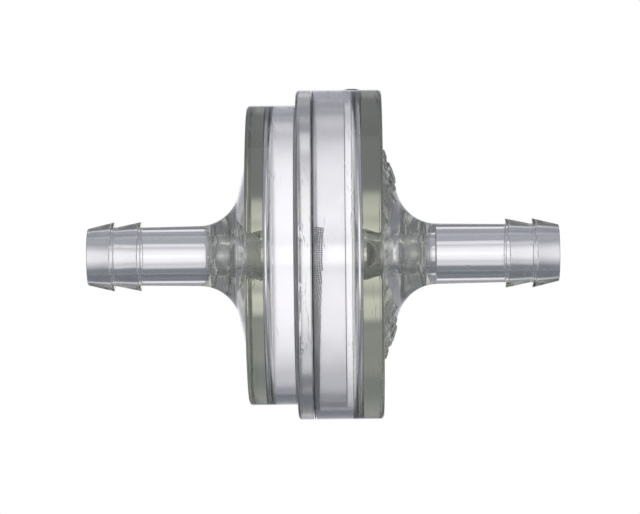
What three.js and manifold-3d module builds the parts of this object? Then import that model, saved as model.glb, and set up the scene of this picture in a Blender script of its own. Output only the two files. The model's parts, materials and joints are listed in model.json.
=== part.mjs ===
// In-line fuel filter for a small engine: a clear round body with a hose barb at each end.
// Units are millimetres. The flow axis is X, +Z is up, and the origin is on the flow axis
// at the middle of the filter's length.

import * as THREE from 'three';
import { mergeVertices } from 'three/addons/utils/BufferGeometryUtils.js';
import Module from 'manifold-3d';

const wasm = await Module();
wasm.setup();

// Driving dimensions

const roundSides = 48; // flat sides that stand for a full circle, a multiple of 4
const smallArcSteps = 3; // straight steps along a rounded edge under 1 mm
const largeArcSteps = 7; // and along a larger fillet

const overallLength = 49.1;

// The bore is stepped: wide along the tube, then a narrower throat through the flare
const bore = {
  radius: 1.9,
  throatRadius: 1.55,
  throatX: 11.6, // distance of the step from the middle of the filter
  stepLength: 0.15,
  mouth: 0.4, // rounding where the throat opens into a chamber
};

const barb = {
  tipRadius: 2.95,
  tipChamfer: 0.12,
  ridgeRadius: 3.62, // grips a hose of 6.35 mm inside diameter
  ridgePitch: 2.8,
  ridgeCount: 2,
  neckRadius: 3.04, // foot of the step behind a ridge
};

const tube = {
  rootRadius: 3.2, // the tube widens slightly from its last ridge to the flare
  flareRadius: 4.2, // concave fillet between the tube and the end wall's cone
};

const seamX = -0.97; // the plane where the halves are welded
const seamGap = 0.28; // between the rims, taken up by the weld bead

const inlet = {
  faceX: -7.8,
  bodyRadius: 15.6,
  edgeRadius: 0.35,
  coneRadius: 11.0,
  coneAngle: 12.4, // degrees that the end wall's cone rises towards the tube
  innerX: -5.98,
  chamberRadius: 14.55,
  chamberFillet: 1.0,
  flangeX: -2.7,
  flangeRadius: 17.15,
  flangeEdge: 0.65,
};

const outlet = {
  faceX: 6.2,
  bodyRadius: 17.15,
  edgeRadius: 0.4,
  coneRadius: 11.3,
  coneAngle: 18,
  innerX: 4.1,
  chamberRadius: 16.25,
  chamberFillet: 1.6,
};

const screen = {
  radius: 15.9,
  thickness: 0.2, // two wires of 0.1 mm, one over the other
};

const retainer = {
  outerRadius: 16.1,
  innerRadius: 15.45,
  length: 3.15,
  chamfer: 0.12,
};

const weld = {
  outerRadius: 17.15,
  innerRadius: 16.45,
  thickness: 0.16,
  crown: 0.1, // how far the bead's outer edge is rounded off
};

// Plain raised bars on the outlet's cone, moulded marks with no lettering
const marks = {
  innerRadius: 7.6,
  longLength: 2.2,
  shortLength: 1.5,
  width: 0.5,
  height: 0.28,
  sink: 0.25, // how far a bar reaches into the wall below it
  perGroup: 7,
  spacing: 15, // degrees between neighbours
  groupAngles: [90, 270],
};

// Helpers

const degrees = Math.PI / 180;

function arc(centreX, centreR, radius, fromDegrees, toDegrees) {
  const points = [];
  const steps = radius < 1 ? smallArcSteps : largeArcSteps;
  for (let step = 0; step <= steps; step += 1) {
    const angle = (fromDegrees + (toDegrees - fromDegrees) * step / steps) * degrees;
    points.push([centreX + radius * Math.cos(angle), centreR + radius * Math.sin(angle)]);
  }
  return points;
}

function signedArea(points) {
  let sum = 0;
  points.forEach(([x, r], index) => {
    const [nextX, nextR] = points[(index + 1) % points.length];
    sum += x * nextR - nextX * r;
  });
  return sum / 2;
}

function weldVertices(geometry) {
  geometry.deleteAttribute('normal');
  geometry.deleteAttribute('uv');
  return mergeVertices(geometry, 1e-5);
}

// Revolves an outline of [x, radius] points about the flow axis. An outline that stays
// off the axis is closed on itself.
function revolve(outline) {
  const points = signedArea(outline) > 0 ? [...outline].reverse() : [...outline];
  const touchesAxis = points.some(([, r]) => r === 0);
  if (!touchesAxis) points.push(points[0]);
  const profile = points.map(([x, r]) => new THREE.Vector2(r, x));
  const geometry = new THREE.LatheGeometry(profile, roundSides);
  geometry.rotateZ(-Math.PI / 2);
  return weldVertices(geometry);
}

function toSolid(geometry) {
  const triVerts = new Uint32Array(geometry.index.array);
  const vertProperties = new Float32Array(geometry.attributes.position.array);
  return new wasm.Manifold(new wasm.Mesh({ numProp: 3, vertProperties, triVerts }));
}

function fromSolid(solid) {
  const { vertProperties, triVerts } = solid.getMesh();
  const geometry = new THREE.BufferGeometry();
  geometry.setAttribute('position', new THREE.BufferAttribute(vertProperties, 3));
  geometry.setIndex(new THREE.BufferAttribute(triVerts, 1));
  return geometry;
}

function clearPlastic(color) {
  return new THREE.MeshStandardMaterial({
    color,
    roughness: 0.06,
    metalness: 0,
    transparent: true,
    opacity: 0.35,
    side: THREE.DoubleSide,
  });
}

// Outline of the barb, tube, flare and end wall, from the bore's edge at the tip to the
// rim of the end wall. side is -1 at the inlet and 1 at the outlet, and the outline is
// drawn outwards from the seam, so it is turned round for the inlet.
function nozzleOutline(half, side) {
  const tipX = overallLength / 2;
  const points = [[tipX, bore.radius], [tipX, barb.tipRadius - barb.tipChamfer]];
  points.push([tipX - barb.tipChamfer, barb.tipRadius]);
  for (let ridge = 1; ridge <= barb.ridgeCount; ridge += 1) {
    const ridgeX = tipX - ridge * barb.ridgePitch;
    points.push([ridgeX, barb.ridgeRadius], [ridgeX, barb.neckRadius]);
  }

  const slope = half.coneAngle * degrees;
  const centreR = tube.rootRadius + tube.flareRadius;
  const reach = (half.coneRadius - centreR) * Math.sin(slope);
  const faceX = Math.abs(half.faceX);
  const centreX = faceX + (tube.flareRadius + reach) / Math.cos(slope);
  points.push(...arc(centreX, centreR, tube.flareRadius, 270, 180 + half.coneAngle));

  points.push([faceX, half.coneRadius]);
  const edge = half.edgeRadius;
  points.push(...arc(faceX - edge, half.bodyRadius - edge, edge, 0, 90));
  return points.map(([x, r]) => [side * x, r]);
}

// Outline of a chamber and of the stepped bore that leaves it, from the rim to the tube
function chamberOutline(half, side) {
  const innerX = Math.abs(half.innerX);
  const fillet = half.chamberFillet;
  const corner = arc(innerX - fillet, half.chamberRadius - fillet, fillet, 90, 0);
  const { mouth, throatRadius, throatX, stepLength } = bore;
  const throat = arc(innerX + mouth, throatRadius + mouth, mouth, 180, 270);
  throat.push([throatX, throatRadius], [throatX + stepLength, bore.radius]);
  return [...corner, ...throat].map(([x, r]) => [side * x, r]);
}

// Pieces

function inletHousing() {
  const rimX = seamX - seamGap / 2;
  const edge = inlet.flangeEdge;
  const flange = [
    [inlet.flangeX, inlet.bodyRadius],
    ...arc(inlet.flangeX + edge, inlet.flangeRadius - edge, edge, 180, 90),
    [rimX, inlet.flangeRadius],
    [rimX, inlet.chamberRadius],
  ];
  return revolve([...nozzleOutline(inlet, -1), ...flange, ...chamberOutline(inlet, -1)]);
}

function markBar(angle, length) {
  const bar = new THREE.BoxGeometry(marks.height + marks.sink, length, marks.width);
  const middle = marks.innerRadius + length / 2;
  const slope = outlet.coneAngle * degrees;
  const surfaceX = outlet.faceX + (outlet.coneRadius - middle) * Math.tan(slope);
  bar.rotateZ(slope);
  bar.translate(surfaceX + (marks.height - marks.sink) / 2, middle, 0);
  bar.rotateX(angle * degrees);
  return toSolid(weldVertices(bar));
}

function outletHousing() {
  const rimX = seamX + seamGap / 2;
  const rim = [[rimX, outlet.bodyRadius], [rimX, outlet.chamberRadius]];
  const outline = [...nozzleOutline(outlet, 1), ...rim, ...chamberOutline(outlet, 1)];
  let solid = toSolid(revolve(outline));
  for (const groupAngle of marks.groupAngles) {
    for (let index = 0; index < marks.perGroup; index += 1) {
      const angle = groupAngle + (index - (marks.perGroup - 1) / 2) * marks.spacing;
      const length = index % 2 === 0 ? marks.longLength : marks.shortLength;
      solid = solid.add(markBar(angle, length));
    }
  }
  return fromSolid(solid);
}

function filterScreen() {
  const fromX = seamX - screen.thickness / 2;
  const toX = seamX + screen.thickness / 2;
  return revolve([[fromX, 0], [fromX, screen.radius], [toX, screen.radius], [toX, 0]]);
}

function screenRetainer() {
  const fromX = seamX + screen.thickness;
  const toX = fromX + retainer.length;
  const { outerRadius, innerRadius, chamfer } = retainer;
  return revolve([
    [fromX, innerRadius],
    [fromX, outerRadius - chamfer],
    [fromX + chamfer, outerRadius],
    [toX - chamfer, outerRadius],
    [toX, outerRadius - chamfer],
    [toX, innerRadius],
  ]);
}

function weldBead() {
  const fromX = seamX - weld.thickness / 2;
  const toX = seamX + weld.thickness / 2;
  const { outerRadius, innerRadius, crown } = weld;
  return revolve([
    [fromX, innerRadius],
    [fromX, outerRadius - crown],
    [seamX, outerRadius],
    [toX, outerRadius - crown],
    [toX, innerRadius],
  ]);
}

// Assembly

const filter = new THREE.Group();

function addPiece(name, geometry, material) {
  const mesh = new THREE.Mesh(geometry, material);
  mesh.name = name;
  filter.add(mesh);
}

addPiece('inlet_housing', inletHousing(), clearPlastic(0xdde3e0));
addPiece('outlet_housing', outletHousing(), clearPlastic(0xdce2e1));
addPiece('screen_retainer', screenRetainer(), clearPlastic(0xe2e6e6));
addPiece('weld_bead', weldBead(), clearPlastic(0xc3cac6));
addPiece('filter_screen', filterScreen(), new THREE.MeshStandardMaterial({
  color: 0x8f9496,
  roughness: 0.45,
  metalness: 0.7,
}));

export default filter;
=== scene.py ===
import json
import math

import bpy
import numpy as np
from mathutils import Matrix, Vector

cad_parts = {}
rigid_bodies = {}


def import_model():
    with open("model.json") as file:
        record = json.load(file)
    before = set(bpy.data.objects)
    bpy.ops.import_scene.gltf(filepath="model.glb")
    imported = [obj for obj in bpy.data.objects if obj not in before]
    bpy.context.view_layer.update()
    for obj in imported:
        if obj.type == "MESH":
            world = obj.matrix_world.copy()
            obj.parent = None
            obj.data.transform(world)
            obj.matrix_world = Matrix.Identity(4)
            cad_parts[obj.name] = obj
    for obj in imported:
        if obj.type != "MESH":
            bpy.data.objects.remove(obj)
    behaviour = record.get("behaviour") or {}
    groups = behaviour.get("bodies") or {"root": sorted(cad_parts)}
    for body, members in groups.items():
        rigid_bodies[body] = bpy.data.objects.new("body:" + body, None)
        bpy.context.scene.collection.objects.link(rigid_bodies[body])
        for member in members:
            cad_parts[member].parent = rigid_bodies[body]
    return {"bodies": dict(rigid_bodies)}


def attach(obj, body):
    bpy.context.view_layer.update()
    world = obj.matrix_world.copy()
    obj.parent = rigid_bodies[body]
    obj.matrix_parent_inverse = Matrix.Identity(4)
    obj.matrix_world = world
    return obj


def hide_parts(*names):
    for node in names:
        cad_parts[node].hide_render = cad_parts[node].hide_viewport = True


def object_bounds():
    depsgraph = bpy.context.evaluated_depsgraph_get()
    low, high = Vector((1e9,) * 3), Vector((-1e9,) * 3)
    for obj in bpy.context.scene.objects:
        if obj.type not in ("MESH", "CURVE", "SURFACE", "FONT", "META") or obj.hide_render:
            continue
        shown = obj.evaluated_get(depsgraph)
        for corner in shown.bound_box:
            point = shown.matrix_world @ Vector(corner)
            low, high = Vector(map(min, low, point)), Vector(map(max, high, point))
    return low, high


# Clear in-line fuel filter. The flow axis is X with the outlet at +X, and +Z is up.
# Sizes are written in millimetres and become metres when a mesh is made.

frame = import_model()
cadLow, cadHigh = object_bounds()
mm = 0.001
bodyName = next(iter(frame["bodies"]))
print("frame loaded, riding on", bodyName)


# Turns corners of (x, radius, fillet) into points with exact normals, so that the
# moulded edges bend light as smooth curves do. spacing is the length between points on a
# straight stretch, arcStep the degrees between them on a fillet, and each fine stretch is
# (lowest x, highest x, lowest radius, highest radius, spacing there).
def roundedOutline(corners, spacing, arcStep, fine=()):
    points = np.array([c[:2] for c in corners], float)
    fillets = [c[2] for c in corners]
    following = np.roll(points, -1, 0)
    if np.sum(points[:, 0] * following[:, 1] - following[:, 0] * points[:, 1]) < 0:
        points, fillets = points[::-1], fillets[::-1]
    count = len(points)
    arcs = []
    for i in range(count):
        here, before, after = points[i], points[i - 1], points[(i + 1) % count]
        toBefore = (before - here) / np.linalg.norm(before - here)
        toAfter = (after - here) / np.linalg.norm(after - here)
        inside = math.acos(np.clip(toBefore @ toAfter, -1, 1))
        turn = math.pi - inside
        steps = max(3, math.ceil(math.degrees(turn) / arcStep))
        reach = fillets[i] / math.tan(inside / 2)
        start = here + toBefore * reach
        bisector = (toBefore + toAfter) / np.linalg.norm(toBefore + toAfter)
        centre = here + bisector * (fillets[i] / math.sin(inside / 2))
        travel = -toBefore
        outward = np.array([travel[1], -travel[0]])
        side = 1 if (start - centre) @ outward > 0 else -1
        row = []
        for step in range(steps + 1):
            angle = side * turn * step / steps
            c, s = math.cos(angle), math.sin(angle)
            spoke = start - centre
            spoke = np.array([c * spoke[0] - s * spoke[1], s * spoke[0] + c * spoke[1]])
            normal = side * spoke / np.linalg.norm(spoke)
            row.append([*(centre + spoke), *normal])
        arcs.append(row)
    outline = []
    for i in range(count):
        outline.extend(arcs[i])
        start, end = np.array(arcs[i][-1]), np.array(arcs[(i + 1) % count][0])
        length = np.linalg.norm(end[:2] - start[:2])
        gap = spacing
        for lowX, highX, lowR, highR, step in fine:
            middle = (start[:2] + end[:2]) / 2
            if lowX <= middle[0] <= highX and lowR <= middle[1] <= highR:
                gap = step
        pieces = max(1, math.ceil(length / gap))
        for step in range(1, pieces):
            outline.append(list(start + (end - start) * step / pieces))
    return np.array(outline)


# Revolves an outline about the flow axis. relief gives how far the surface stands proud
# at (x, radius, angle), and the normals are tilted to suit it. inside says how dull each
# point of the outline is: 0 on the outside, 1 in the chamber, more where it is frosted.
def latheMesh(name, outline, sides, relief=None, inside=None):
    count = len(outline)
    turns = np.arange(sides) * (2 * math.pi / sides)
    x, r, nx, nr = (np.tile(column, (sides, 1)) for column in outline.T)
    angle = np.repeat(turns[:, None], count, 1)
    tangentX, tangentR = -nr, nx
    slopeAlong = slopeAround = height = np.zeros_like(x)
    if relief:
        tiny = 0.004  # step for measuring the relief's slope
        height = relief(x, r, angle, nx)
        ahead = relief(x + tangentX * tiny, r + tangentR * tiny, angle, nx)
        behind = relief(x - tangentX * tiny, r - tangentR * tiny, angle, nx)
        slopeAlong = (ahead - behind) / (2 * tiny)
        left = relief(x, r, angle + tiny / r, nx)
        right = relief(x, r, angle - tiny / r, nx)
        slopeAround = (left - right) / (2 * tiny)
    placeX, placeR = x + nx * height, r + nr * height
    cosine, sine = np.cos(angle), np.sin(angle)
    places = np.stack([placeX, placeR * cosine, placeR * sine], -1).reshape(-1, 3) * mm
    normalX = nx - slopeAlong * tangentX
    normalR = nr - slopeAlong * tangentR
    normals = np.stack(
        [
            normalX,
            normalR * cosine + slopeAround * sine,
            normalR * sine - slopeAround * cosine,
        ],
        -1,
    ).reshape(-1, 3)
    normals /= np.linalg.norm(normals, axis=1, keepdims=True)
    point, turn = np.meshgrid(np.arange(count), np.arange(sides))
    nextPoint, nextTurn = (point + 1) % count, (turn + 1) % sides
    faces = np.stack(
        [
            turn * count + point,
            turn * count + nextPoint,
            nextTurn * count + nextPoint,
            nextTurn * count + point,
        ],
        -1,
    ).reshape(-1, 4)
    mesh = bpy.data.meshes.new(name)
    mesh.from_pydata(places.tolist(), [], faces.tolist())
    mesh.shade_smooth()
    mesh.normals_split_custom_set_from_vertices(normals.tolist())
    if inside is not None:
        layer = mesh.attributes.new("inside", "FLOAT", "POINT")
        layer.data.foreach_set("value", np.tile(inside, sides).astype(np.float32))
    piece = bpy.data.objects.new(name, mesh)
    bpy.context.scene.collection.objects.link(piece)
    return piece


def smoothStep(value, low, high):
    t = np.clip((value - low) / (high - low), 0, 1)
    return t * t * (3 - 2 * t)


# 1 inside the span and 0 outside it, with soft ends
def softSpan(value, low, high, soft):
    rise = smoothStep(value, low - soft / 2, low + soft / 2)
    fall = smoothStep(value, high - soft / 2, high + soft / 2)
    return rise * (1 - fall)


def addNode(tree, kind, place, **settings):
    node = tree.nodes.new(kind)
    node.location = place
    for key, value in settings.items():
        setattr(node, key, value)
    return node


def mathNode(tree, operation, place, first, second=None, clamp=False):
    node = addNode(tree, "ShaderNodeMath", place, operation=operation, use_clamp=clamp)
    for index, value in enumerate((first, second)):
        if value is None:
            continue
        if isinstance(value, (int, float)):
            node.inputs[index].default_value = value
        else:
            tree.links.new(value, node.inputs[index])
    return node.outputs[0]


def rampNode(tree, source, place, stops):
    node = addNode(tree, "ShaderNodeValToRGB", place)
    elements = node.color_ramp.elements
    while len(elements) < len(stops):
        elements.new(0.5)
    for element, (position, value) in zip(elements, stops):
        element.position = position
        element.color = (*value, 1) if isinstance(value, tuple) else (value, value, value, 1)
    tree.links.new(source, node.inputs["Fac"])
    return node.outputs["Color"]


def newGroup(name, inputs, outputs):
    tree = bpy.data.node_groups.new(name, "ShaderNodeTree")
    for label, kind, value in inputs:
        socket = tree.interface.new_socket(name=label, in_out="INPUT", socket_type=kind)
        if value is not None:
            socket.default_value = value
    for label, kind in outputs:
        tree.interface.new_socket(name=label, in_out="OUTPUT", socket_type=kind)
    start = addNode(tree, "NodeGroupInput", (-1200, 0))
    end = addNode(tree, "NodeGroupOutput", (900, 0))
    return tree, start, end


# Moulded clear plastic: slow flow ripples, fine handling scratches and a light haze.
def makeMouldedSurface():
    tree, start, end = newGroup(
        "mouldedSurface",
        [
            ("Vector", "NodeSocketVector", None),
            ("Ripple Scale", "NodeSocketFloat", 160.0),
            ("Ripple Share", "NodeSocketFloat", 0.6),
            ("Scratch Scale", "NodeSocketFloat", 900.0),
            ("Scratch Share", "NodeSocketFloat", 0.25),
            ("Clean Roughness", "NodeSocketFloat", 0.02),
            ("Hazy Roughness", "NodeSocketFloat", 0.09),
        ],
        [
            ("Roughness", "NodeSocketFloat"),
            ("Height", "NodeSocketFloat"),
            ("Haze", "NodeSocketFloat"),
        ],
    )
    link = tree.links.new
    ripple = addNode(tree, "ShaderNodeTexNoise", (-900, 300))
    ripple.inputs["Detail"].default_value = 1.5
    ripple.inputs["Roughness"].default_value = 0.4
    link(start.outputs["Vector"], ripple.inputs["Vector"])
    link(start.outputs["Ripple Scale"], ripple.inputs["Scale"])

    # scratches are thin valleys of a stretched, twisted noise
    sharpness = 55.0
    stretch = addNode(tree, "ShaderNodeMapping", (-1000, -120))
    stretch.inputs["Rotation"].default_value = (0.5, 0.9, 0.3)
    stretch.inputs["Scale"].default_value = (1.0, 0.06, 0.25)
    link(start.outputs["Vector"], stretch.inputs["Vector"])
    scratch = addNode(tree, "ShaderNodeTexNoise", (-800, -120))
    scratch.inputs["Detail"].default_value = 2.0
    scratch.inputs["Distortion"].default_value = 0.35
    link(stretch.outputs["Vector"], scratch.inputs["Vector"])
    link(start.outputs["Scratch Scale"], scratch.inputs["Scale"])
    away = mathNode(tree, "SUBTRACT", (-620, -120), scratch.outputs["Fac"], 0.5)
    close = mathNode(tree, "ABSOLUTE", (-460, -120), away)
    line = mathNode(tree, "MULTIPLY", (-300, -120), close, sharpness, clamp=True)
    groove = mathNode(tree, "SUBTRACT", (-150, -120), 1.0, line)
    where = addNode(tree, "ShaderNodeTexNoise", (-620, -400))
    where.inputs["Scale"].default_value = 210.0
    link(start.outputs["Vector"], where.inputs["Vector"])
    patch = rampNode(tree, where.outputs["Fac"], (-420, -400), [(0.5, 0.0), (0.62, 1.0)])
    groove = mathNode(tree, "MULTIPLY", (0, -200), groove, patch)
    groove = mathNode(tree, "MULTIPLY", (160, -200), groove, start.outputs["Scratch Share"])

    haze = addNode(tree, "ShaderNodeTexNoise", (-620, 620))
    haze.inputs["Scale"].default_value = 320.0
    haze.inputs["Detail"].default_value = 5.0
    haze.inputs["Roughness"].default_value = 0.6
    link(start.outputs["Vector"], haze.inputs["Vector"])
    hazy = rampNode(tree, haze.outputs["Fac"], (-420, 620), [(0.42, 0.0), (0.78, 1.0)])

    worn = mathNode(tree, "MAXIMUM", (330, 420), hazy, groove)
    spread = mathNode(
        tree, "SUBTRACT", (330, 250),
        start.outputs["Hazy Roughness"], start.outputs["Clean Roughness"],
    )
    rough = mathNode(tree, "MULTIPLY", (490, 350), worn, spread)
    rough = mathNode(tree, "ADD", (650, 350), rough, start.outputs["Clean Roughness"])
    waves = mathNode(
        tree, "MULTIPLY", (330, 60), ripple.outputs["Fac"], start.outputs["Ripple Share"]
    )
    height = mathNode(tree, "SUBTRACT", (520, 40), waves, groove)
    link(rough, end.inputs["Roughness"])
    link(height, end.inputs["Height"])
    link(worn, end.inputs["Haze"])
    return tree


mouldedSurface = makeMouldedSurface()


def clearPlastic(name, look):
    material = bpy.data.materials.new(name)
    material.use_nodes = True
    tree = material.node_tree
    tree.nodes.clear()
    link = tree.links.new
    place = addNode(tree, "ShaderNodeTexCoord", (-900, 0))
    surface = addNode(tree, "ShaderNodeGroup", (-650, 0), node_tree=mouldedSurface)
    link(place.outputs["Object"], surface.inputs["Vector"])
    for label, value in look["surface"].items():
        surface.inputs[label].default_value = value
    bump = addNode(tree, "ShaderNodeBump", (-350, -250))
    bump.inputs["Strength"].default_value = look["bumpStrength"]
    bump.inputs["Distance"].default_value = look["bumpDepth"] * mm
    link(surface.outputs["Height"], bump.inputs["Height"])
    tint = rampNode(
        tree, surface.outputs["Haze"], (-350, 200),
        [(0.0, look["clearColour"]), (1.0, look["hazyColour"])],
    )
    shader = addNode(tree, "ShaderNodeBsdfPrincipled", (0, 0))
    shader.inputs["IOR"].default_value = look["ior"]
    shader.inputs["Transmission Weight"].default_value = 1.0
    link(tint, shader.inputs["Base Color"])
    chamber = addNode(tree, "ShaderNodeAttribute", (-650, 420), attribute_name="inside")
    dull = mathNode(
        tree, "MULTIPLY", (-450, 420), chamber.outputs["Fac"], look["chamberRoughness"]
    )
    rough = mathNode(tree, "ADD", (-180, 320), dull, surface.outputs["Roughness"])
    link(rough, shader.inputs["Roughness"])
    link(bump.outputs["Normal"], shader.inputs["Normal"])
    depth = addNode(tree, "ShaderNodeVolumeAbsorption", (0, -420))
    depth.inputs["Color"].default_value = (*look["depthColour"], 1)
    depth.inputs["Density"].default_value = look["depthDensity"]
    end = addNode(tree, "ShaderNodeOutputMaterial", (350, 0))
    link(shader.outputs["BSDF"], end.inputs["Surface"])
    link(depth.outputs["Volume"], end.inputs["Volume"])
    return material


housingLook = {
    "ior": 1.58,
    "clearColour": (0.998, 0.996, 0.998),
    "hazyColour": (0.965, 0.975, 0.97),
    "depthColour": (0.45, 0.5, 0.16),
    "depthDensity": 25.0,
    "bumpStrength": 0.6,
    "bumpDepth": 0.02,
    "chamberRoughness": 0.05,
    "surface": {
        "Ripple Scale": 160.0,
        "Ripple Share": 0.6,
        "Scratch Scale": 900.0,
        "Scratch Share": 0.2,
        "Clean Roughness": 0.015,
        "Hazy Roughness": 0.06,
    },
}
housingPlastic = clearPlastic("housingPlastic", housingLook)

ringLook = dict(housingLook)
ringLook["depthDensity"] = 16.0
ringLook["surface"] = dict(housingLook["surface"])
ringLook["surface"]["Clean Roughness"] = 0.03
ringPlastic = clearPlastic("ringPlastic", ringLook)

# Painted shade: the weld bead's dark clear and hazy colours stand in for the shade along the seam
# between the two halves; its rougher, rippled surface is its own.
shadedBeadLook = dict(housingLook)
shadedBeadLook["depthDensity"] = 40.0
shadedBeadLook["clearColour"] = (0.18, 0.21, 0.21)  # dark tint is painted shade along the seam between the two halves
shadedBeadLook["hazyColour"] = (0.12, 0.14, 0.14)
shadedBeadLook["bumpDepth"] = 0.05
shadedBeadLook["surface"] = dict(housingLook["surface"])
shadedBeadLook["surface"].update(
    {"Ripple Scale": 700.0, "Clean Roughness": 0.08, "Hazy Roughness": 0.3}
)
shadedBeadPlastic = clearPlastic("shadedBeadPlastic", shadedBeadLook)
print("clear plastics made")

seam = {"x": -0.97, "gap": 0.28}

nozzle = {
    "length": 49.1,
    "tipRadius": 2.95,
    "tipEdge": 0.12,
    "ridgeRadius": 3.62,
    "ridgeEdge": 0.05,
    "ridgePitch": 2.8,
    "ridgeCount": 2,
    "neckRadius": 3.04,
    "neckFillet": 0.1,
    "rootRadius": 3.2,
    "flareRadius": 4.2,
    "boreRadius": 1.9,
    "boreEdge": 0.15,
    "throatRadius": 1.4,
    "throatX": 11.6,
    "stepLength": 0.15,
    "stepEdge": 0.03,
    "mouth": 0.15,
    "mouthRadius": 1.7,
    "landLength": 0.4,
    "coneLength": 1.35,
    "coneEdge": 0.05,
    "frostStart": 6.5,  # the core pin left this stretch of the throat frosted
    "frostStop": 8.3,
    "frostSoft": 0.2,
    "frostRadius": 2.2,  # only what lies nearer the axis than this
    "frost": 8.0,  # how many times duller than the chamber
}

inlet = {
    "faceX": 7.8,
    "bodyRadius": 15.6,
    "bodyEdge": 0.35,
    "coneRadius": 11.0,
    "coneAngle": 12.4,
    "creaseFillet": 1.5,
    "innerX": 5.98,
    "chamberRadius": 14.55,
    "chamberFillet": 1.0,
    "flangeX": 2.7,
    "flangeRadius": 17.15,
    "flangeEdge": 0.36,
    "flangeRoot": 0.2,
    "rimEdge": 0.06,
    "side": -1,
    "sides": 256,
    "spacing": 0.9,
    "arcStep": 5,
}

outlet = {
    "faceX": 6.2,
    "bodyRadius": 17.15,
    "bodyEdge": 0.4,
    "coneRadius": 11.3,
    "coneAngle": 18,
    "creaseFillet": 1.5,
    "innerX": 4.1,
    "chamberRadius": 16.25,
    "chamberFillet": 1.15,
    "rimEdge": 0.06,
    "side": 1,
    "sides": 288,
    "spacing": 1.1,
    "arcStep": 6,
    "fine": [(6.3, 9, 5, 11, 0.14), (0, 6, 17.1, 17.2, 0.35)],  # under the marks and gate
}

# plain raised bars moulded on the outlet's cone, with no lettering
marks = {
    "innerRadius": 7.6,
    "longLength": 2.2,
    "shortLength": 1.5,
    "width": 0.5,
    "height": 0.28,
    "soft": 0.2,
    "perGroup": 7,
    "spacing": 15,
    "groupAngles": (90, 270),
    "coneInner": 6,  # bars lie between these radii
    "coneOuter": 12,
    "coneSlack": 0.5,  # how far short of the end wall's edge still counts as the cone
    "coneFacing": 0.5,  # and the least share of a normal that points outwards
    "ringCount": 36,  # a ring of fine bars outside the two groups
    "ringRadius": 10.0,
    "ringLength": 0.9,
    "ringWidth": 0.5,
    "ringHeight": 0.15,
}

# where the plastic was let into the mould and snapped off
gate = {
    "x": 3.15,
    "angle": 90,
    "halfLength": 0.8,
    "halfWidth": 0.8,
    "height": 0.13,
    "flatTo": 0.3,  # the nub falls away between these squared distances from its middle
    "gonePast": 1.3,
    "wallSlack": 0.3,
}


# from the bore's edge at the tip, along the barb, tube and flare, to the body's edge
def nozzleCorners(half):
    tipX = nozzle["length"] / 2
    corners = [
        (tipX, nozzle["boreRadius"], nozzle["boreEdge"]),
        (tipX, nozzle["tipRadius"], nozzle["tipEdge"]),
    ]
    for ridge in range(1, nozzle["ridgeCount"] + 1):
        ridgeX = tipX - ridge * nozzle["ridgePitch"]
        corners.append((ridgeX, nozzle["ridgeRadius"], nozzle["ridgeEdge"]))
        corners.append((ridgeX, nozzle["neckRadius"], nozzle["neckFillet"]))
    slope = math.tan(math.radians(half["coneAngle"]))
    rootR = nozzle["rootRadius"]
    rootX = half["faceX"] + (half["coneRadius"] - rootR) * slope
    corners.append((rootX, rootR, nozzle["flareRadius"]))
    corners.append((half["faceX"], half["coneRadius"], half["creaseFillet"]))
    corners.append((half["faceX"], half["bodyRadius"], half["bodyEdge"]))
    return corners


# from the rim, round the chamber and down the stepped bore
def chamberCorners(half, rimX):
    landX = half["innerX"] + nozzle["landLength"]
    return [
        (rimX, half["chamberRadius"], half["rimEdge"]),
        (half["innerX"], half["chamberRadius"], half["chamberFillet"]),
        (half["innerX"], nozzle["mouthRadius"], nozzle["mouth"]),
        (landX, nozzle["mouthRadius"], nozzle["coneEdge"]),
        (landX + nozzle["coneLength"], nozzle["throatRadius"], nozzle["coneEdge"]),
        (nozzle["throatX"], nozzle["throatRadius"], nozzle["stepEdge"]),
        (nozzle["throatX"] + nozzle["stepLength"], nozzle["boreRadius"], nozzle["stepEdge"]),
    ]


# the chamber's walls come from a plain turned core, so they are duller than the outside
def innerDullness(outline, half):
    slackX, slackR = 0.02, 0.05  # so that points right on the walls count
    x, r = np.abs(outline[:, 0] - seam["x"]), outline[:, 1]
    depth = abs(math.copysign(half["innerX"], half["side"]) - seam["x"])
    within = (x < depth + slackX) & (r < half["chamberRadius"] + slackR)
    chamber = within & (r > nozzle["mouthRadius"] + nozzle["mouth"])
    start, stop, soft = nozzle["frostStart"], nozzle["frostStop"], nozzle["frostSoft"]
    frosted = softSpan(np.abs(outline[:, 0]), start, stop, soft)
    frosted = np.where(r < nozzle["frostRadius"], frosted, 0)
    return chamber + nozzle["frost"] * frosted


def inletPiece():
    rimX = -seam["x"] + seam["gap"] / 2
    corners = nozzleCorners(inlet)
    corners += [
        (inlet["flangeX"], inlet["bodyRadius"], inlet["flangeRoot"]),
        (inlet["flangeX"], inlet["flangeRadius"], inlet["flangeEdge"]),
        (rimX, inlet["flangeRadius"], inlet["rimEdge"]),
    ]
    corners += chamberCorners(inlet, rimX)
    corners = [(-x, r, fillet) for x, r, fillet in corners]
    outline = roundedOutline(corners, inlet["spacing"], inlet["arcStep"])
    inside = innerDullness(outline, inlet)
    return latheMesh("inletHousing", outline, inlet["sides"], None, inside)


# a bar from one radius outwards, as wide as it says, from 0 beside it to 1 on top
def softBar(along, across, inner, length, width):
    bar = softSpan(along, inner, inner + length, marks["soft"])
    return bar * softSpan(across, -width / 2, width / 2, marks["soft"])


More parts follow.
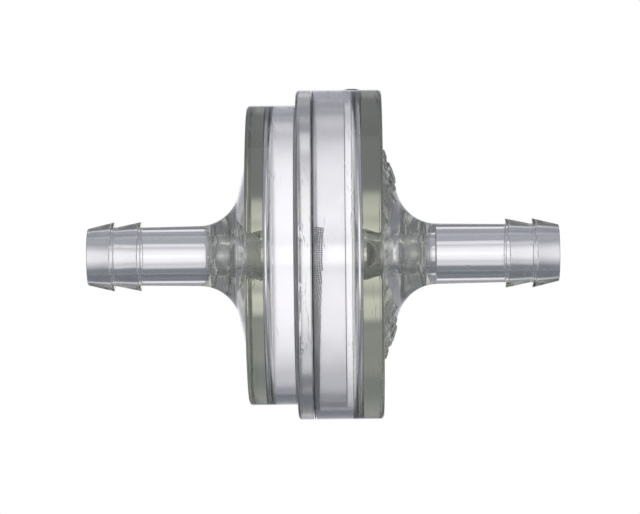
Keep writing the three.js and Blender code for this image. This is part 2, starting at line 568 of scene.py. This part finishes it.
def outletRelief(x, r, angle, normalX):
    height = np.zeros_like(x)
    onCone = (x > outlet["faceX"] - marks["coneSlack"]) & (normalX > marks["coneFacing"])
    onCone &= (r > marks["coneInner"]) & (r < marks["coneOuter"])
    for groupAngle in marks["groupAngles"]:
        for index in range(marks["perGroup"]):
            turn = groupAngle + (index - (marks["perGroup"] - 1) / 2) * marks["spacing"]
            length = marks["longLength"] if index % 2 == 0 else marks["shortLength"]
            away = angle - math.radians(turn)
            along, across = r * np.cos(away), r * np.sin(away)
            bar = softBar(along, across, marks["innerRadius"], length, marks["width"])
            height += np.where(onCone & (along > 0), bar * marks["height"], 0)

    step = 2 * math.pi / marks["ringCount"]
    away = (angle + step / 2) % step - step / 2
    bar = softBar(r, r * away, marks["ringRadius"], marks["ringLength"], marks["ringWidth"])
    height += np.where(onCone, bar * marks["ringHeight"], 0)

    away = angle - math.radians(gate["angle"])
    across = r * np.sin(away) / gate["halfWidth"]
    along = (x - gate["x"]) / gate["halfLength"]
    bump = 1 - smoothStep(along**2 + across**2, gate["flatTo"], gate["gonePast"])
    onWall = (r > outlet["bodyRadius"] - gate["wallSlack"]) & (np.cos(away) > 0)
    height += np.where(onWall, bump * gate["height"], 0)
    return height


def outletPiece():
    rimX = seam["x"] + seam["gap"] / 2
    corners = nozzleCorners(outlet)
    corners.append((rimX, outlet["bodyRadius"], outlet["rimEdge"]))
    corners += chamberCorners(outlet, rimX)
    outline = roundedOutline(corners, outlet["spacing"], outlet["arcStep"], outlet["fine"])
    inside = innerDullness(outline, outlet)
    return latheMesh("outletHousing", outline, outlet["sides"], outletRelief, inside)


inletHousing = inletPiece()
inletHousing.data.materials.append(housingPlastic)
outletHousing = outletPiece()
outletHousing.data.materials.append(housingPlastic)
print("housings made")

retainer = {
    "outerRadius": 15.97,  # leaves room for the screen's turned edge outside it
    "innerRadius": 15.45,
    "length": 3.15,
    "edge": 0.1,
    "clearance": 0.2,
    "sides": 256,
    "spacing": 0.5,
    "arcStep": 11,
}


def retainerPiece():
    fromX = seam["x"] + retainer["clearance"]
    toX = fromX + retainer["length"]
    edge = retainer["edge"]
    corners = [
        (fromX, retainer["innerRadius"], edge),
        (fromX, retainer["outerRadius"], edge),
        (toX, retainer["outerRadius"], edge),
        (toX, retainer["innerRadius"], edge),
    ]
    outline = roundedOutline(corners, retainer["spacing"], retainer["arcStep"])
    return latheMesh("screenRetainer", outline, retainer["sides"])


weld = {
    "outerRadius": 17.15,
    "innerRadius": 16.45,
    "thickness": 0.16,
    "edge": 0.07,
    "sides": 512,
    "spacing": 0.18,
    "arcStep": 15,
    "unevenness": 0.035,
    "waves": [(0.5, 9, 0.7, 0), (0.4, 23, 2.1, 0), (0.35, 57, 0, 3)],  # size, count, start, twist
    "sideShare": 0.3,  # how much of the swelling its flat sides take
}


# remelted plastic swells and shrinks a little along the seam
def weldRelief(x, r, angle, normalX):
    waves = sum(
        size * np.sin(count * angle + start + r * twist)
        for size, count, start, twist in weld["waves"]
    )
    return weld["unevenness"] * waves * np.where(np.abs(normalX) > 0.5, weld["sideShare"], 1.0)


def weldPiece():
    fromX = seam["x"] - weld["thickness"] / 2
    toX = seam["x"] + weld["thickness"] / 2
    outerR = weld["outerRadius"] - weld["unevenness"]
    corners = [
        (fromX, weld["innerRadius"], weld["edge"]),
        (fromX, outerR, weld["edge"]),
        (toX, outerR, weld["edge"]),
        (toX, weld["innerRadius"], weld["edge"]),
    ]
    outline = roundedOutline(corners, weld["spacing"], weld["arcStep"])
    return latheMesh("weldBead", outline, weld["sides"], weldRelief)


screenRetainer = retainerPiece()
screenRetainer.data.materials.append(ringPlastic)
weldBead = weldPiece()
weldBead.data.materials.append(shadedBeadPlastic)
print("ring and weld made")

cloth = {
    "bendRadius": 16.1,  # the edge is turned up round the outside of the ring
    "edgeWidth": 0.25,
    "flapWidth": 0.9,  # a stretch at the front was trimmed less closely
    "flapTop": 2.8,
    "flapBottom": -24.0,
    "pitch": 0.23,
    "wireRadius": 0.055,
    "rise": 0.066,  # a little over the radius, so that wires stay clear on the flat cloth
    "wireSides": 3,
    "samplesPerPitch": 2,
}


def clothSteel():
    material = bpy.data.materials.new("clothSteel")
    material.use_nodes = True
    tree = material.node_tree
    tree.nodes.clear()
    link = tree.links.new
    place = addNode(tree, "ShaderNodeTexCoord", (-900, 0))
    cloudy = addNode(tree, "ShaderNodeTexNoise", (-650, 150))
    cloudy.inputs["Scale"].default_value = 260.0
    cloudy.inputs["Detail"].default_value = 4.0
    link(place.outputs["Object"], cloudy.inputs["Vector"])
    drawn = addNode(tree, "ShaderNodeTexNoise", (-650, -150))
    drawn.inputs["Scale"].default_value = 9000.0
    drawn.inputs["Detail"].default_value = 2.0
    link(place.outputs["Object"], drawn.inputs["Vector"])
    colour = rampNode(
        tree, cloudy.outputs["Fac"], (-350, 150),
        [(0.3, (0.42, 0.43, 0.44)), (0.7, (0.6, 0.61, 0.62))],
    )
    rough = rampNode(tree, drawn.outputs["Fac"], (-350, -150), [(0.3, 0.3), (0.7, 0.5)])
    bump = addNode(tree, "ShaderNodeBump", (-350, -400))
    bump.inputs["Strength"].default_value = 0.3
    bump.inputs["Distance"].default_value = 0.005 * mm
    link(drawn.outputs["Fac"], bump.inputs["Height"])
    shader = addNode(tree, "ShaderNodeBsdfPrincipled", (0, 0))
    shader.inputs["Metallic"].default_value = 1.0
    link(colour, shader.inputs["Base Color"])
    link(rough, shader.inputs["Roughness"])
    link(bump.outputs["Normal"], shader.inputs["Normal"])
    end = addNode(tree, "ShaderNodeOutputMaterial", (350, 0))
    link(shader.outputs["BSDF"], end.inputs["Surface"])
    return material


# Wires of one direction. Each wire is a row of points that dodges the crossing wires,
# over one and under the next. The cloth is cut round and its edge turned up.
def wireTree():
    tree = bpy.data.node_groups.new("wovenWires", "GeometryNodeTree")
    tree.interface.new_socket(name="Geometry", in_out="OUTPUT", socket_type="NodeSocketGeometry")
    for label, kind in (
        ("Bend Radius", "NodeSocketFloat"),
        ("Edge Width", "NodeSocketFloat"),
        ("Flap Width", "NodeSocketFloat"),
        ("Flap Top", "NodeSocketFloat"),
        ("Flap Bottom", "NodeSocketFloat"),
        ("Pitch", "NodeSocketFloat"),
        ("Wire Radius", "NodeSocketFloat"),
        ("Rise", "NodeSocketFloat"),
        ("Wire Sides", "NodeSocketInt"),
        ("Wires", "NodeSocketInt"),
        ("Samples", "NodeSocketInt"),
        ("Crossing", "NodeSocketBool"),
        ("Centre", "NodeSocketFloat"),
        ("Material", "NodeSocketMaterial"),
    ):
        tree.interface.new_socket(name=label, in_out="INPUT", socket_type=kind)
    link = tree.links.new
    start = addNode(tree, "NodeGroupInput", (-1600, 0))
    end = addNode(tree, "NodeGroupOutput", (1700, 0))
    given = start.outputs

    def maths(operation, place, first, second=None, clamp=False):
        return mathNode(tree, operation, place, first, second, clamp)

    # one point per wire, in a row along Y about the middle
    span = maths("SUBTRACT", (-1400, 300), given["Wires"], 1.0)
    span = maths("MULTIPLY", (-1250, 300), span, given["Pitch"])
    half = maths("MULTIPLY", (-1100, 300), span, -0.5)
    rowStart = addNode(tree, "ShaderNodeCombineXYZ", (-950, 380))
    link(half, rowStart.inputs["Y"])
    rowStep = addNode(tree, "ShaderNodeCombineXYZ", (-950, 240))
    link(given["Pitch"], rowStep.inputs["Y"])
    row = addNode(tree, "GeometryNodeMeshLine", (-750, 300), mode="OFFSET")
    link(given["Wires"], row.inputs["Count"])
    link(rowStart.outputs[0], row.inputs["Start Location"])
    link(rowStep.outputs[0], row.inputs["Offset"])

    # the points along a wire, along Z
    sampleStep = maths("DIVIDE", (-1400, -100), span, given["Samples"])
    wireStart = addNode(tree, "ShaderNodeCombineXYZ", (-950, -40))
    link(half, wireStart.inputs["Z"])
    wireStep = addNode(tree, "ShaderNodeCombineXYZ", (-950, -180))
    link(sampleStep, wireStep.inputs["Z"])
    sampleCount = maths("ADD", (-1250, -200), given["Samples"], 1.0)
    wire = addNode(tree, "GeometryNodeMeshLine", (-750, -60), mode="OFFSET")
    link(sampleCount, wire.inputs["Count"])
    link(wireStart.outputs[0], wire.inputs["Start Location"])
    link(wireStep.outputs[0], wire.inputs["Offset"])

    spread = addNode(tree, "GeometryNodeInstanceOnPoints", (-500, 200))
    link(row.outputs["Mesh"], spread.inputs["Points"])
    link(wire.outputs["Mesh"], spread.inputs["Instance"])
    real = addNode(tree, "GeometryNodeRealizeInstances", (-320, 200))
    link(spread.outputs["Instances"], real.inputs["Geometry"])

    # crossing wires run the other way, so Y and Z change places
    position = addNode(tree, "GeometryNodeInputPosition", (-1300, -520))
    parts = addNode(tree, "ShaderNodeSeparateXYZ", (-1120, -520))
    link(position.outputs[0], parts.inputs[0])
    across = addNode(tree, "GeometryNodeSwitch", (-940, -440), input_type="FLOAT")
    link(given["Crossing"], across.inputs["Switch"])
    link(parts.outputs["Y"], across.inputs["False"])
    link(parts.outputs["Z"], across.inputs["True"])
    above = addNode(tree, "GeometryNodeSwitch", (-940, -620), input_type="FLOAT")
    link(given["Crossing"], above.inputs["Switch"])
    link(parts.outputs["Z"], above.inputs["False"])
    link(parts.outputs["Y"], above.inputs["True"])
    across, above = across.outputs[0], above.outputs[0]
    flat = addNode(tree, "ShaderNodeCombineXYZ", (-740, -520))
    link(across, flat.inputs["Y"])
    link(above, flat.inputs["Z"])
    reach = addNode(tree, "ShaderNodeVectorMath", (-580, -520), operation="LENGTH")
    link(flat.outputs[0], reach.inputs[0])
    reach = reach.outputs["Value"]
    over = maths("SUBTRACT", (-400, -520), reach, given["Bend Radius"])

    # how far the turned edge goes: an even strip, and the longer flap at the front
    taper = addNode(tree, "ShaderNodeMapRange", (-740, -780))
    link(above, taper.inputs["Value"])
    link(given["Flap Bottom"], taper.inputs["From Min"])
    link(given["Flap Top"], taper.inputs["From Max"])
    link(given["Flap Width"], taper.inputs["To Max"])
    belowTop = maths("LESS_THAN", (-740, -1000), above, given["Flap Top"])
    atFront = maths("LESS_THAN", (-740, -1150), across, 0.0)
    flap = maths("MULTIPLY", (-560, -900), taper.outputs["Result"], belowTop)
    flap = maths("MULTIPLY", (-400, -900), flap, atFront)
    width = maths("ADD", (-240, -900), flap, given["Edge Width"])
    outside = maths("GREATER_THAN", (-60, -800), over, width)
    cut = addNode(tree, "GeometryNodeDeleteGeometry", (-120, 200), domain="POINT")
    link(real.outputs["Geometry"], cut.inputs["Geometry"])
    link(outside, cut.inputs["Selection"])

    # over and under: a cosine of the place along both directions
    total = maths("ADD", (-400, -300), across, above)
    turns = maths("DIVIDE", (-240, -300), total, given["Pitch"])
    phase = maths("MULTIPLY", (-80, -300), turns, math.pi)
    wave = maths("COSINE", (80, -300), phase)
    flip = maths("MULTIPLY_ADD", (80, -460), given["Crossing"], -2.0)
    flip.node.inputs[2].default_value = 1.0
    wave = maths("MULTIPLY", (240, -300), wave, flip)
    wave = maths("MULTIPLY", (400, -300), wave, given["Rise"])

    # past the bend the cloth runs along X and dodges outwards instead
    beyond = maths("MAXIMUM", (240, -620), over, 0.0)
    turned = maths("DIVIDE", (400, -620), beyond, given["Pitch"], clamp=True)
    stay = maths("SUBTRACT", (560, -620), 1.0, turned)
    alongX = maths("MULTIPLY", (560, -300), wave, stay)
    alongX = maths("ADD", (720, -300), alongX, given["Centre"])
    alongX = maths("ADD", (880, -300), alongX, beyond)
    outwards = maths("MULTIPLY", (560, -480), wave, turned)
    newReach = maths("MINIMUM", (560, -780), reach, given["Bend Radius"])
    newReach = maths("SUBTRACT", (720, -700), newReach, outwards)
    safeReach = maths("MAXIMUM", (720, -860), reach, 1e-6)
    scale = maths("DIVIDE", (880, -760), newReach, safeReach)
    newY = maths("MULTIPLY", (1040, -600), across, scale)
    newZ = maths("MULTIPLY", (1040, -760), above, scale)
    moved = addNode(tree, "ShaderNodeCombineXYZ", (1200, -500))
    link(alongX, moved.inputs["X"])
    link(newY, moved.inputs["Y"])
    link(newZ, moved.inputs["Z"])
    place = addNode(tree, "GeometryNodeSetPosition", (400, 200))
    link(cut.outputs["Geometry"], place.inputs["Geometry"])
    link(moved.outputs[0], place.inputs["Position"])

    curve = addNode(tree, "GeometryNodeMeshToCurve", (1060, 200))
    link(place.outputs["Geometry"], curve.inputs["Mesh"])
    profile = addNode(tree, "GeometryNodeCurvePrimitiveCircle", (1060, -20), mode="RADIUS")
    link(given["Wire Sides"], profile.inputs["Resolution"])
    link(given["Wire Radius"], profile.inputs["Radius"])
    tube = addNode(tree, "GeometryNodeCurveToMesh", (1220, 200))
    link(curve.outputs["Curve"], tube.inputs["Curve"])
    link(profile.outputs["Curve"], tube.inputs["Profile Curve"])
    tube.inputs["Fill Caps"].default_value = True
    smooth = addNode(tree, "GeometryNodeSetShadeSmooth", (1360, 200))
    link(tube.outputs["Mesh"], smooth.inputs["Geometry"])
    last = addNode(tree, "GeometryNodeRealizeInstances", (1460, 200))
    link(smooth.outputs["Geometry"], last.inputs["Geometry"])
    paint = addNode(tree, "GeometryNodeSetMaterial", (1580, 200))
    link(last.outputs["Geometry"], paint.inputs["Geometry"])
    link(given["Material"], paint.inputs["Material"])
    link(paint.outputs["Geometry"], end.inputs["Geometry"])
    return tree


def socketId(tree, label):
    for item in tree.interface.items_tree:
        if item.item_type == "SOCKET" and item.in_out == "INPUT" and item.name == label:
            return item.identifier
    raise KeyError(label)


def wirePiece(name, tree, crossing, material):
    holder = bpy.data.objects.new(name + "Holder", bpy.data.meshes.new(name + "Holder"))
    bpy.context.scene.collection.objects.link(holder)
    modifier = holder.modifiers.new("wires", "NODES")
    modifier.node_group = tree
    fullRadius = cloth["bendRadius"] + cloth["edgeWidth"] + cloth["flapWidth"]
    wires = 2 * int(fullRadius / cloth["pitch"]) + 1
    values = {
        "Bend Radius": cloth["bendRadius"] * mm,
        "Edge Width": cloth["edgeWidth"] * mm,
        "Flap Width": cloth["flapWidth"] * mm,
        "Flap Top": cloth["flapTop"] * mm,
        "Flap Bottom": cloth["flapBottom"] * mm,
        "Pitch": cloth["pitch"] * mm,
        "Wire Radius": cloth["wireRadius"] * mm,
        "Rise": cloth["rise"] * mm,
        "Wire Sides": cloth["wireSides"],
        "Wires": wires,
        "Samples": (wires - 1) * cloth["samplesPerPitch"],
        "Crossing": crossing,
        "Centre": seam["x"] * mm,
        "Material": material,
    }
    for label, value in values.items():
        modifier[socketId(tree, label)] = value
    graph = bpy.context.evaluated_depsgraph_get()
    mesh = bpy.data.meshes.new_from_object(holder.evaluated_get(graph))
    mesh.name = name
    piece = bpy.data.objects.new(name, mesh)
    bpy.context.scene.collection.objects.link(piece)
    bpy.data.objects.remove(holder)
    return piece


steel = clothSteel()
wovenWires = wireTree()
screenWarp = wirePiece("screenWarp", wovenWires, False, steel)
screenWeft = wirePiece("screenWeft", wovenWires, True, steel)
print("screen woven:", len(screenWarp.data.polygons), len(screenWeft.data.polygons))

# each new piece stands for the solid of the same piece in the frame
for piece, node, slotName in (
    (inletHousing, "inlet_housing", "clear_plastic"),
    (outletHousing, "outlet_housing", "clear_plastic"),
    (screenRetainer, "screen_retainer", "retainer_plastic"),
    (weldBead, "weld_bead", "weld_plastic"),
    (screenWarp, "filter_screen", "screen_cloth"),
    (screenWeft, "filter_screen", "screen_cloth"),
):
    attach(piece, bodyName)
    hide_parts(node)
print("pieces take the place of their solids")

# Soft white panels in a grey room, as directions seen from the object: degrees round from
# +Y to either side, degrees up, half the width and height, how soft the edges are, and
# how much light each adds.
studio = {
    "panels": {
        "backCard": (0, 0, 13, 7.5, 8, 0.42),
        "backGlow": (0, 0, 24, 13, 13, 0.28),
        "upCard": (0, 13.5, 12, 3.2, 3, 0.45),
        "upGlow": (0, 27, 20, 10, 8, 0.1),
        "lowCard": (0, -12.5, 12, 3, 3, 0.3),
        "skyline": (0, 0, 60, 4, 7, 0.2),
        "topFront": (180, 62, 90, 46, 24, 0.5),
        "lowFront": (180, -36, 90, 24, 24, 0.3),
        "topBack": (0, 80, 90, 24, 20, 0.14),
        "sideWindow": (90, 0, 18, 16, 12, 0.8),
        "frontWindow": (180, 0, 8, 7, 7, 0.8),
        "lowWindowBack": (45, -25, 8, 7, 8, 0.4),
        "lowWindowFront": (135, -15, 8, 7, 8, 0.4),
    },
    "upperGrey": (0.27, 0.28, 0.33),
    "lowerGrey": (0.17, 0.18, 0.21),
    "panelColour": (1.0, 0.965, 1.0),
}


def makeWorld():
    world = bpy.data.worlds.new("studio")
    bpy.context.scene.world = world
    world.use_nodes = True
    tree = world.node_tree
    tree.nodes.clear()
    link = tree.links.new
    place = addNode(tree, "ShaderNodeTexCoord", (-1500, 0))
    parts = addNode(tree, "ShaderNodeSeparateXYZ", (-1300, 0))
    link(place.outputs["Generated"], parts.inputs[0])
    degree = 180 / math.pi
    aside = mathNode(tree, "ABSOLUTE", (-1120, 160), parts.outputs["X"])
    around = mathNode(tree, "ARCTAN2", (-960, 160), aside, parts.outputs["Y"])
    around = mathNode(tree, "MULTIPLY", (-800, 160), around, degree)
    up = mathNode(tree, "ARCSINE", (-960, -60), parts.outputs["Z"])
    up = mathNode(tree, "MULTIPLY", (-800, -60), up, degree)

    def softSide(source, middle, half, soft, spot):
        away = mathNode(tree, "SUBTRACT", spot, source, middle)
        away = mathNode(tree, "ABSOLUTE", (spot[0] + 160, spot[1]), away)
        side = addNode(tree, "ShaderNodeMapRange", (spot[0] + 320, spot[1]))
        side.interpolation_type = "SMOOTHSTEP"
        side.inputs["From Min"].default_value = half - soft / 2
        side.inputs["From Max"].default_value = half + soft / 2
        side.inputs["To Min"].default_value = 1
        side.inputs["To Max"].default_value = 0
        link(away, side.inputs["Value"])
        return side.outputs["Result"]

    total = None
    for row, panel in enumerate(studio["panels"].values()):
        turn, rise, halfWide, halfHigh, soft, strength = panel
        level = 900 - 260 * row
        wide = softSide(around, turn, halfWide, soft, (-560, level))
        high = softSide(up, rise, halfHigh, soft, (-560, level - 120))
        glow = mathNode(tree, "MULTIPLY", (0, level), wide, high)
        glow = mathNode(tree, "MULTIPLY", (160, level), glow, strength)
        total = glow if total is None else mathNode(tree, "ADD", (340, level), total, glow)

    lit = addNode(tree, "ShaderNodeVectorMath", (540, 300), operation="SCALE")
    lit.inputs[0].default_value = studio["panelColour"]
    link(total, lit.inputs["Scale"])
    share = mathNode(tree, "MULTIPLY_ADD", (540, 0), up, 1 / 180)
    share.node.inputs[2].default_value = 0.5
    walls = rampNode(
        tree, share, (720, 0), [(0.3, studio["lowerGrey"]), (0.7, studio["upperGrey"])]
    )
    light = addNode(tree, "ShaderNodeVectorMath", (1020, 200), operation="ADD")
    link(lit.outputs[0], light.inputs[0])
    link(walls, light.inputs[1])
    room = addNode(tree, "ShaderNodeBackground", (1200, 200))
    link(light.outputs[0], room.inputs["Color"])
    backdrop = addNode(tree, "ShaderNodeBackground", (1200, 0))
    backdrop.inputs["Color"].default_value = (1, 1, 1, 1)
    path = addNode(tree, "ShaderNodeLightPath", (1200, 500))
    mix = addNode(tree, "ShaderNodeMixShader", (1400, 200))
    link(path.outputs["Is Camera Ray"], mix.inputs["Fac"])
    link(room.outputs[0], mix.inputs[1])
    link(backdrop.outputs[0], mix.inputs[2])
    end = addNode(tree, "ShaderNodeOutputWorld", (1600, 200))
    link(mix.outputs[0], end.inputs["Surface"])


def makeFloor():
    mesh = bpy.data.meshes.new("floor")
    reach, height = 6.0, float(cadLow.z) - 0.1 * mm  # metres each way, just under the part
    corners = [(-reach, -reach), (reach, -reach), (reach, reach), (-reach, reach)]
    mesh.from_pydata([(x, y, height) for x, y in corners], [], [(0, 1, 2, 3)])
    floor = bpy.data.objects.new("floor", mesh)
    bpy.context.scene.collection.objects.link(floor)
    material = bpy.data.materials.new("paleFloor")
    material.use_nodes = True
    tree = material.node_tree
    tree.nodes.clear()
    glow = addNode(tree, "ShaderNodeEmission", (0, 0))
    glow.inputs["Color"].default_value = (1, 1, 1, 1)
    end = addNode(tree, "ShaderNodeOutputMaterial", (250, 0))
    tree.links.new(glow.outputs[0], end.inputs["Surface"])
    mesh.materials.append(material)
    floor.visible_diffuse = False
    floor.visible_glossy = False
    floor.visible_transmission = False
    floor.visible_shadow = False


makeWorld()
makeFloor()
print("studio made")

view = {
    "distance": 370.0,
    "place": (2.8, -0.2),  # along X and Z
    "aim": (-0.34, -0.22),
    "fieldWidth": 66.75,  # how much of the object's plane fits across the frame
    "roll": 0.57,  # degrees
}


def makeCamera():
    data = bpy.data.cameras.new("camera")
    data.sensor_width = 36
    data.lens = data.sensor_width * view["distance"] / view["fieldWidth"]
    data.clip_start, data.clip_end = 0.01, 20
    camera = bpy.data.objects.new("camera", data)
    bpy.context.scene.collection.objects.link(camera)
    spot = Vector((view["place"][0], -view["distance"], view["place"][1])) * mm
    target = Vector((view["aim"][0], 0, view["aim"][1])) * mm
    turn = (target - spot).to_track_quat("-Z", "Y").to_matrix()
    roll = Matrix.Rotation(-math.radians(view["roll"]), 3, "Z")
    camera.matrix_world = Matrix.Translation(spot) @ (turn @ roll).to_4x4()
    bpy.context.scene.camera = camera


makeCamera()

scene = bpy.context.scene
scene.view_settings.view_transform = "Standard"
scene.view_settings.look = "None"
scene.cycles.max_bounces = 32
scene.cycles.transmission_bounces = 32
scene.cycles.glossy_bounces = 12
scene.cycles.transparent_max_bounces = 16
scene.cycles.blur_glossy = 0.2
print("camera made")
